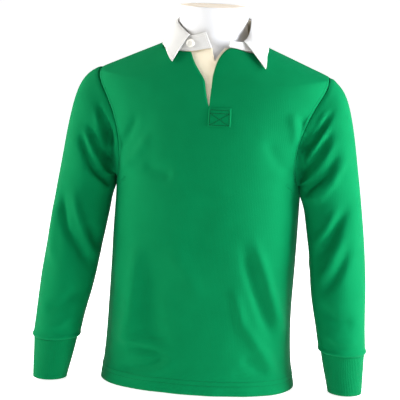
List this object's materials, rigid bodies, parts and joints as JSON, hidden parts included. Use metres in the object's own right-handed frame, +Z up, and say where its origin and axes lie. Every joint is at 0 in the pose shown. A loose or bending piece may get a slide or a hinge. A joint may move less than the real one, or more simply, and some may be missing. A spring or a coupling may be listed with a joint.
{
  "type": "rugby shirt on a limbless dress form",
  "caption": "Long-sleeved rugby shirt with a contrast twill collar, an open fly placket and ribbed cuffs, worn by a limbless torso form that stands on its flat base.",
  "frame": {"origin": "middle of the torso form's flat base, on the surface that it stands on", "axes": "+Z up, -Y out of the shirt's front, +X to the wearer's left"},
  "size_m": [0.67, 0.2389, 0.763],
  "materials": {
    "green_knit": "matt knitted cotton",
    "green_rib": "matt knitted rib",
    "white_twill": "matt cotton twill",
    "cream_twill": "matt cotton twill",
    "ivory_rubber": "satin",
    "white_form": "satin"
  },
  "bodies": {
    "root": {"front": "green_knit", "back": "green_knit", "sleeve_left": "green_knit", "sleeve_right": "green_knit", "cuff_left": "green_rib", "cuff_right": "green_rib", "neckband": "white_twill", "collar": "white_twill", "placket_facing": "cream_twill", "placket_underlap": "cream_twill", "placket_box": "green_knit", "button": "ivory_rubber", "torso_form": "white_form"}
  },
  "joints": []
}
